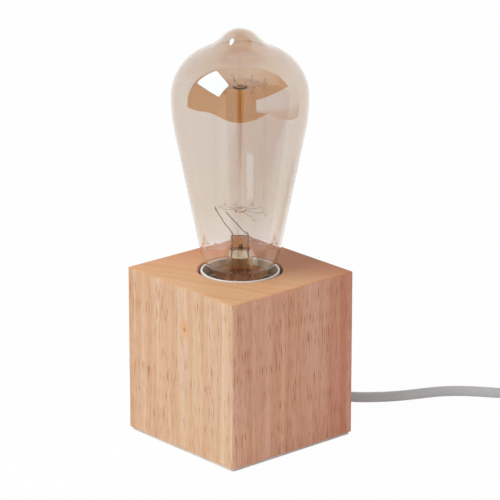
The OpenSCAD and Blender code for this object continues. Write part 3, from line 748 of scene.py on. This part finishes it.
def pinch(z):
    """Half width, half depth and squareness of the pinched stem at a height."""
    t = max(0.0, min(1.0, (z - PRESS_Z) / PINCH_H))
    t = t * t * (3 - 2 * t)
    return TUBE_R + (PRESS_HALF_W - TUBE_R) * t, TUBE_R + (PRESS_HALF_D - TUBE_R) * t, 2 + 3 * t


def stem_press():
    """The press: round where the tube ends, pinched flat above, with an eased top edge."""
    rings, sides = [], 64
    edge_z = PRESS_TOP - PRESS_EDGE
    levels = [(PRESS_Z + 0.02 + (edge_z - PRESS_Z) * i / 24, 0.0) for i in range(25)]
    levels += [(edge_z + PRESS_EDGE * math.sin(math.radians(a)),
                PRESS_EDGE * (1 - math.cos(math.radians(a)))) for a in (20, 40, 60, 75, 90)]
    for z, inset in levels:
        width, deep, square = pinch(z)
        ring = []
        for k in range(sides):
            a = 2 * math.pi * k / sides
            c, s = math.cos(a), math.sin(a)
            x = (width - inset) * math.copysign(abs(c) ** (2 / square), c)
            y = (deep - inset) * math.copysign(abs(s) ** (2 / square), s)
            ring.append((x, y, z))
        rings.append(in_stem(ring))
    return skinned("stem_pinch", rings, 60)


def exhaust_bore():
    """The mouth of the exhaust bore in the front of the press, lined with painted shade."""
    rings = []
    for y, r in ((-1.86, 0.7), (-1.9, 1.05), (-1.8, BORE_R), (-1.4, BORE_R)):
        mouth = [on_arc((0.2, PRESS_Z + 4.4), r, a) for a in range(0, 360, 15)]
        rings.append(in_stem([(x, y, z) for x, z in mouth]))
    return skinned("exhaust_bore", rings, 60)


def bead(r, low, high):
    """Outline of a glass button round the rod."""
    middle = (low + high) / 2
    half = (high - low) / 2
    bulge = arc((r - half, middle), half, -90, 90, 10)
    return [(0, low)] + bulge + [(0, high)]


def stem():
    """Flare, press with its bore, exhaust tube, rod and buttons."""
    dressed(stem_flare(), [MATERIALS["flare_painted_amber"], MATERIALS["tube_glass"]], "stem_glass",
            "bulb", "stem_flare")
    dressed(stem_press(), MATERIALS["press_glass"], "stem_glass", "bulb", "stem_press")
    dressed(exhaust_bore(), MATERIALS["bore"], "stem_glass", "bulb")
    finish_node(MATERIALS["stem_glass"], "exhaust_tube")
    rod = [(0, PRESS_TOP), (ROD_R, PRESS_TOP), (ROD_R, UPPER_Z - 1.2), (0, UPPER_Z - 1.2)]
    core = [(0, LOWER_Z + 5), (0.2, LOWER_Z + 5), (0.2, UPPER_Z - 3), (0, UPPER_Z - 3)]
    lower, upper = bead(2.7, LOWER_Z - 1.1, LOWER_Z + 1.1), bead(3.2, UPPER_Z - 2.2, UPPER_Z - 0.4)
    for name, outline, turns, glass, nodes in (
            ("glass_rod", rod, 48, "rod_glass", ["support_rod"]),
            ("rod_line", core, 16, "rod_core", []),
            ("lower_bead", lower, 48, "bead_glass", ["lower_button"]),
            ("upper_bead", upper, 48, "bead_glass", ["upper_button"])):
        piece = revolved(name, outline, SEAT_Z, turns)
        dressed(piece, MATERIALS[glass], "stem_glass", "bulb", *nodes)


# The hooks' places round the rod, their height in rises, and the rise of each set.
UPPER_ANGLES = (192, 150, 105, 62, 22, -15, -60, 232)
LOWER_ANGLES = (154, 130, 102, 61, 30, -18, -61)
HOOK_Z = 2.2
UPPER_RISE = 1.4
LOWER_RISE = -0.9
LEAD_LEFT_TIP = (-11.2, -2, LOWER_Z + 0.7)
LEAD_RIGHT_TIP = (-5.8, -6.5, LOWER_Z + 0.1)
LEAD_LEFT_END = (-12, -2.3, LOWER_Z + 2.3)
LEAD_RIGHT_END = (-6.6, -7, LOWER_Z + 1.3)


def hook(a, z, r, rise):
    """A support wire from its button to the cage, with its tip bent over."""
    return [
        polar(r - 0.5, a, z), polar(CAGE_R * 0.72, a + 2, z + rise),
        polar(CAGE_R * 0.9, a - 2, z - rise / 2), polar(CAGE_R, a, z + HOOK_Z * rise),
        polar(CAGE_R + 0.7, a + 5, z + 1.4 * rise)
    ]


def supports():
    """Hooks, lead wires, and the filament that hangs between the hooks."""
    lower = [hook(a, LOWER_Z, 2.7, LOWER_RISE) for a in LOWER_ANGLES]
    upper = [hook(a, UPPER_Z - 1.5, 2.9, UPPER_RISE) for a in UPPER_ANGLES]
    left = smooth([LEAD_LEFT_END, LEAD_LEFT_TIP, (-7.7, -1.2, PRESS_TOP + 7),
                   (-4.3, -0.3, PRESS_TOP + 2.1), (-3.6, 0, PRESS_TOP + 0.6),
                   (-3.6, 0, PRESS_TOP - 1.5), (-3.6, 0, 16), (-1, 0, 8), (0, 0, 5.2)])
    right = smooth([LEAD_RIGHT_END, LEAD_RIGHT_TIP, (-2.3, -4.1, PRESS_TOP + 7.8),
                    (1.2, -1.7, PRESS_TOP + 3), (2.9, -0.6, PRESS_TOP + 1.1),
                    (3.7, 0, PRESS_TOP - 1.2), (3.7, 0, 17), (12.2, 0, 14.5)])
    for name, paths, r, node in (
            ("lower_support_wires", lower, HOOK_WIRE_R, "lower_hooks"),
            ("upper_support_wires", upper, HOOK_WIRE_R, "upper_hooks"),
            ("left_lead", [left], LEAD_WIRE_R, "lead_wire_left"),
            ("right_lead", [right], LEAD_WIRE_R, "lead_wire_right")):
        wire = wire_curve(name, [in_stem(path) for path in paths], r)
        dressed(wire, MATERIALS["support_wire"], "support_wire", "bulb", node)
    top = UPPER_Z - 1.5 + HOOK_Z * UPPER_RISE
    low = LOWER_Z + HOOK_Z * LOWER_RISE
    strand = [LEAD_LEFT_END]
    for above, below in zip(UPPER_ANGLES, LOWER_ANGLES):
        strand += [polar(CAGE_R, above, top), polar(CAGE_R, below, low)]
    strand += [polar(CAGE_R, UPPER_ANGLES[-1], top), LEAD_RIGHT_END]
    dressed(wire_curve("filament_strand", [in_stem(strand)], STRAND_R, 1), MATERIALS["filament"],
            "filament", "bulb", "filament")


def bulb():
    dressed(bulb_glass(), COATED_GLASS, "amber_glass", "bulb", "bulb_glass")
    dressed(bulb_cap(), [MATERIALS["cap_metal"], MATERIALS["cement"]], "cap_metal", "bulb",
            "bulb_cap")
    finish_node(MATERIALS["solder"], "bulb_contact")
    finish_node(MATERIALS["cap_glass"], "cap_insulator")
    stem()
    supports()


# ---------------------------------------------------------------- cord, switch and plug

RUN_NEAR = [
    (0, 46.5, 5), (0.1, 51, 4.9), (0.9, 55.5, 4.5), (2.7, 60, 3.8), (5.4, 64.3, 3.1),
    (8.9, 68.8, 2.6), (12.9, 73.9, 2.5), (17, 79.4, 2.5), (20.5, 85.3, 2.5),
    (23.4, 91.5, 2.5), (26, 97.5, 2.5), (28.7, 103.2, 2.5), (32.2, 108.6, 2.5),
    (36.4, 113.4, 2.5), (41.1, 117.7, 2.5), (46, 121.6, 2.5), (50.6, 125.3, 2.6),
    (54.6, 129.8, 3.1), (57.6, 135.1, 4), (59.4, 140.9, 5.1), (60, 146.5, 5.9), (60, 151, 6)
]
IN_SWITCH = [(SWITCH_AT[0], SWITCH_AT[1] + step, SWITCH_AT[2]) for step in (-15, 0, 15)]
RUN_FAR = [
    (60, 195, 6), (60, 199, 5.9), (60, 203.5, 5.1), (60, 208, 4), (60, 212.5, 3.1),
    (60, 217, 2.6), (60, 222, 2.5)
]
TAIL_CLIMB = [            # angle, radius and height round the coil
    (215, 20.8, 12.5), (234, 20.8, 13.3), (253, 21, 15.2), (271, 22.9, 17.1), (288, 25.9, 17.7),
    (305, 29, 17.9), (322, 31.3, 18), (339, 32.2, 18.2), (355, 31.6, 18.7)
]
COIL_START = 10           # degrees
COIL_END = 215 + 8 * 360
LAYER_CHANGE = 95         # degrees in which the cord steps up to the next layer
TAIL_BEND_R = 20
TAIL_BEND_AT = (COIL_AT[0] + 11.3, COIL_AT[1] - 3)
PIN_SLEEVE_X = TAIL_BEND_AT[0] - 46


def round_coil(degrees, r, z):
    """A point by its place round the coil."""
    x, y, _ = polar(r, degrees, z)
    return (COIL_AT[0] + x, COIL_AT[1] + y, z)


def coil_turns():
    """The wound length: spirals inwards, steps up a layer, spirals outwards, and inwards again."""
    spiral = (COIL_END - COIL_START - (COIL_LAYERS - 1) * LAYER_CHANGE) / COIL_LAYERS
    cycle = spiral + LAYER_CHANGE
    step = 15
    count = math.ceil((COIL_END - COIL_START) / step)
    points = []
    for i in range(count):
        along = (COIL_END - COIL_START) * i / count
        layer, rest = divmod(along, cycle)
        inwards = 1 if layer % 2 == 0 else -1
        reach = COIL_REACH * inwards * (1 - 2 * min(1.0, rest / spiral))
        t = max(0.0, (rest - spiral) / LAYER_CHANGE)
        z = CORD_D * (0.5 + layer + t * t * (3 - 2 * t))
        points.append(round_coil(COIL_START + along, COIL_R + reach, z))
    return points


def cord_path():
    """The whole route: to the switch, through it, round the coil, up and over to the plug."""
    tail = [round_coil(a, r, z) for a, r, z in TAIL_CLIMB]
    bend_z = TAIL_CLIMB[-1][2]
    for a in range(15, 91, 15):
        rise = math.cos(math.radians(a)) ** 2
        tail.append((*on_arc(TAIL_BEND_AT, TAIL_BEND_R, a), PLUG_Z - (PLUG_Z - bend_z) * rise))
    return RUN_NEAR + IN_SWITCH + RUN_FAR + coil_turns() + tail


def cord():
    """The cord as one round curve over its route."""
    data = bpy.data.curves.new("mains_cord", "CURVE")
    data.dimensions = "3D"
    data.bevel_depth = CORD_D / 2 * MM
    data.bevel_resolution = 5
    data.resolution_u = 4
    data.use_fill_caps = True
    route = cord_path()
    spline = data.splines.new("BEZIER")
    spline.bezier_points.add(len(route) - 1)
    for point, place in zip(spline.bezier_points, route):
        point.co = [v * MM for v in place]
        point.handle_left_type = point.handle_right_type = "AUTO"
    piece = bpy.data.objects.new("mains_cord", data)
    bpy.context.scene.collection.objects.link(piece)
    return piece


def tie():
    """Strap round the coil: a flat band with rounded corners and eased edges."""
    half_w, half_h, corner, t, ease = 9.75, 7.9, 3.2, 0.55, 0.1
    outer, inner = [], []
    for q, (sx, sz) in enumerate(((1, 1), (-1, 1), (-1, -1), (1, -1))):
        centre = (sx * (half_w - corner), sz * (half_h - corner))
        outer += arc(centre, corner, 90 * q, 90 * q + 90, 8)
        inner += arc(centre, corner - t, 90 * q, 90 * q + 90, 8)
    eased = [(x * (1 - ease / half_w), z * (1 - ease / half_h)) for x, z in outer]
    turn = Matrix.Rotation(math.radians(TIE_ANGLE), 3, "Z")
    at = Vector((*COIL_AT, half_h))
    rows = [[turn @ Vector((COIL_R + x, y, z)) + at for x, z in outline]
            for y, outline in ((-4, eased), (-3.8, outer), (3.8, outer), (4, eased),
                               (3.9, inner), (-3.9, inner))]
    return skinned("tie_strap", rows, 40, closed=True)


def cord_pieces():
    """The cord with its switch and plug, kept out of the bulb's mirror image."""
    sheath = MATERIALS["cord_sheath"]
    nodes = frame["nodes"]
    line = dressed(cord(), sheath, "cord_sheath", "base", "cord_run_near", "cord_run_far",
                   "cord_coil", "cord_tail")
    strap = dressed(tie(), MATERIALS["tie"], "tie", "base", "coil_tie")
    finish_node(sheath, "cord_inner", "cord_bushing")
    finish_node(MATERIALS["switch_plastic"], "switch_base", "switch_cover")
    finish_node(MATERIALS["rocker_plastic"], "switch_rocker")
    finish_node(MATERIALS["plug_plastic"], "plug_body")
    finish_node(pin_metal(PIN_SLEEVE_X), "plug_pins")
    others = [strap] + [nodes[name] for name in (
        "cord_bushing", "switch_base", "switch_cover", "switch_rocker", "switch_axle",
        "switch_contacts", "switch_wires", "switch_screws", "plug_body", "plug_pins")]
    for piece in [line] + others:
        piece.visible_glossy = False


# ---------------------------------------------------------------- studio

CAMERA_AT = (1.108034, -0.968269, 0.573639)
CAMERA_TILT = 71.837      # degrees up from straight down
CAMERA_TURN = 48.673      # degrees about Z
LENS = 237.94

# The rectangular lamp, set by its reflection on the bulb's crown: the place that mirrors it, the
# way from there, the distance, and its sides with their lengths at a distance of 1.
CROWN_AT = Vector((0.0112, -0.0246, 0.1783))
SOFTBOX_WAY = (0.385, -0.582, 0.716)
SOFTBOX_DISTANCE = 0.9
SOFTBOX_ACROSS = (0.985, 0.169, -0.029)
SOFTBOX_DOWN = (0.036, -0.380, -0.924)
SOFTBOX_SIZE = (0.884, 0.650)

# The floor's front right has painted shade in mirrors, apart from a painted strip of light on it.
DIM_FRONT = (0.05, 0.12)
DIM_RIGHT = (-0.11, -0.01)
DIM = 0.28
STRIP_FRONT = (0.178, 0.184, 0.218, 0.224)
STRIP_RIGHT = (0.040, 0.046, 0.083, 0.089)
STRIP_SKEW = 0.3
STRIP = 0.42
FLOOR_GREY = 0.90
FLOOR_SEEN = 0.975        # share of plain white where the floor is seen

FLOOR_FRONT, FLOOR_LEFT, FLOOR_RIGHT, FLOOR_BACK = 0.46, -0.57, 0.50, -3.0
BOARD_RIGHT = 0.45
ROOM_DIFFUSE = 0.52       # the world's strength for the light that falls on the lamp


def studio(c, s, u):
    """A direction or place, given as towards the camera, to the camera's right, and up."""
    return TO_CAMERA * c + TO_RIGHT * s + Vector((0, 0, u))


def camera():
    data = bpy.data.cameras.new("camera")
    data.lens = LENS
    data.sensor_width = 36
    item = bpy.data.objects.new("camera", data)
    item.location = CAMERA_AT
    item.rotation_euler = (math.radians(CAMERA_TILT), 0, math.radians(CAMERA_TURN))
    bpy.context.scene.collection.objects.link(item)
    bpy.context.scene.camera = item


def softbox(name, energy, mirrored):
    """Half of the rectangular lamp at the left; the bulb's crown reflects one of the halves."""
    across = studio(*SOFTBOX_ACROSS).normalized()
    data = bpy.data.lights.new(name, "AREA")
    data.shape = "RECTANGLE"
    data.size, data.size_y = [v * SOFTBOX_DISTANCE for v in SOFTBOX_SIZE]
    data.energy = energy
    item = bpy.data.objects.new(name, data)
    at = CROWN_AT + studio(*SOFTBOX_WAY) * SOFTBOX_DISTANCE
    away = across.cross(studio(*SOFTBOX_DOWN)).normalized()
    if away.dot(at) < 0:
        away = -away
    item.matrix_world = Matrix.Translation(at) @ Matrix(
        (across, away.cross(across), away)).transposed().to_4x4()
    item.visible_camera = False
    item.visible_glossy = mirrored
    bpy.context.scene.collection.objects.link(item)


def table_white():
    """White for the rays that see the floor; the others find a surface that takes shadows."""
    s = Shader("table_white")
    rays = s.add("LightPath").outputs
    mirrors = s.math("MAXIMUM", rays["Is Glossy Ray"], rays["Is Transmission Ray"])
    seen = s.math("MAXIMUM", rays["Is Camera Ray"], mirrors)
    front = s.towards(TO_CAMERA, s.place)
    right = s.towards(TO_RIGHT, s.place)
    # painted shade on the front right and a painted strip of light, seen only in mirrors
    dim = s.math("MULTIPLY", s.between(front, *DIM_FRONT), s.between(right, *DIM_RIGHT, 0, DIM))
    skew = s.math("ADD", front, s.math("MULTIPLY", right, STRIP_SKEW))
    strip = s.math("MULTIPLY", s.window(skew, STRIP_FRONT), s.window(right, STRIP_RIGHT))
    dim = s.math("SUBTRACT", dim, s.math("MULTIPLY", strip, STRIP))
    level = s.math("SUBTRACT", 1.0, s.math("MULTIPLY", dim, mirrors))
    light = s.add("Emission", {"Color": (1, 1, 1, 1), "Strength": level}).outputs[0]
    cloth = s.add("BsdfDiffuse", {"Color": (FLOOR_GREY, FLOOR_GREY, FLOOR_GREY, 1)}).outputs[0]
    share = s.math("MULTIPLY", seen, FLOOR_SEEN)
    s.show(s.add("MixShader", {0: share, 1: cloth, 2: light}).outputs[0])
    return s.material


def board_white():
    """Emission of the side board, less near the table."""
    s = Shader("board_white")
    level = s.between(s.axis("Z", s.place), 0.0, 0.12, 0.50, 0.85)
    s.show(s.add("Emission", {"Color": (1, 1, 1, 1), "Strength": level}).outputs[0])
    return s.material


def sheet_of(name, corners, material):
    """One flat face of the studio."""
    mesh = bpy.data.meshes.new(name)
    mesh.from_pydata([tuple(c) for c in corners], [], [tuple(range(len(corners)))])
    item = bpy.data.objects.new(name, mesh)
    mesh.materials.append(material)
    bpy.context.scene.collection.objects.link(item)
    return item


def floor():
    """The table, wider behind the lamp."""
    corners = [studio(FLOOR_FRONT, FLOOR_LEFT, 0), studio(FLOOR_FRONT, FLOOR_RIGHT, 0),
               studio(FLOOR_BACK, FLOOR_RIGHT * 3, 0), studio(FLOOR_BACK, FLOOR_LEFT * 3, 0)]
    sheet_of("floor", corners, table_white())


def side_board():
    """A white board at the right side of the table, outside the view, for reflections only."""
    corners = [studio(front, BOARD_RIGHT, up)
               for front, up in ((0.91, 0), (-0.19, 0), (-0.19, 0.31), (0.91, 0.43))]
    item = sheet_of("side_board", corners, board_white())
    item.visible_camera = False
    item.visible_diffuse = False


def world():
    """White behind the lamp; reflections find the room's front dark and its top grey."""
    item = bpy.data.worlds.new("studio")
    item.use_nodes = True
    bpy.context.scene.world = item
    s = Nodes(item.node_tree)
    rays = s.add("LightPath").outputs
    place = s.add("TexCoord").outputs["Generated"]
    up = s.axis("Z", place)
    front = s.between(s.towards(TO_CAMERA, place), -0.14, -0.10, kind="LINEAR")
    room = s.between(up, 0.55, 1.0, 0.02, 0.42, kind="LINEAR")
    back = s.between(up, 0.25, 1.0, 1.0, 0.48, kind="LINEAR")
    reflected = s.math("GREATER_THAN", rays["Glossy Depth"], 0.5)
    shown = s.blend(reflected, 1.0, s.blend(front, back, room))
    level = s.blend(rays["Is Diffuse Ray"], shown, ROOM_DIFFUSE)
    light = s.add("Background", {"Color": (1, 1, 1, 1), "Strength": level}).outputs[0]
    s.add("OutputWorld", {"Surface": light})


camera()
cord_pieces()
base()
holder()
bulb()
softbox("softbox", 4.8, True)
softbox("softbox_fill", 2.8, False)
floor()
side_board()
world()
bpy.context.scene.view_settings.view_transform = "Standard"
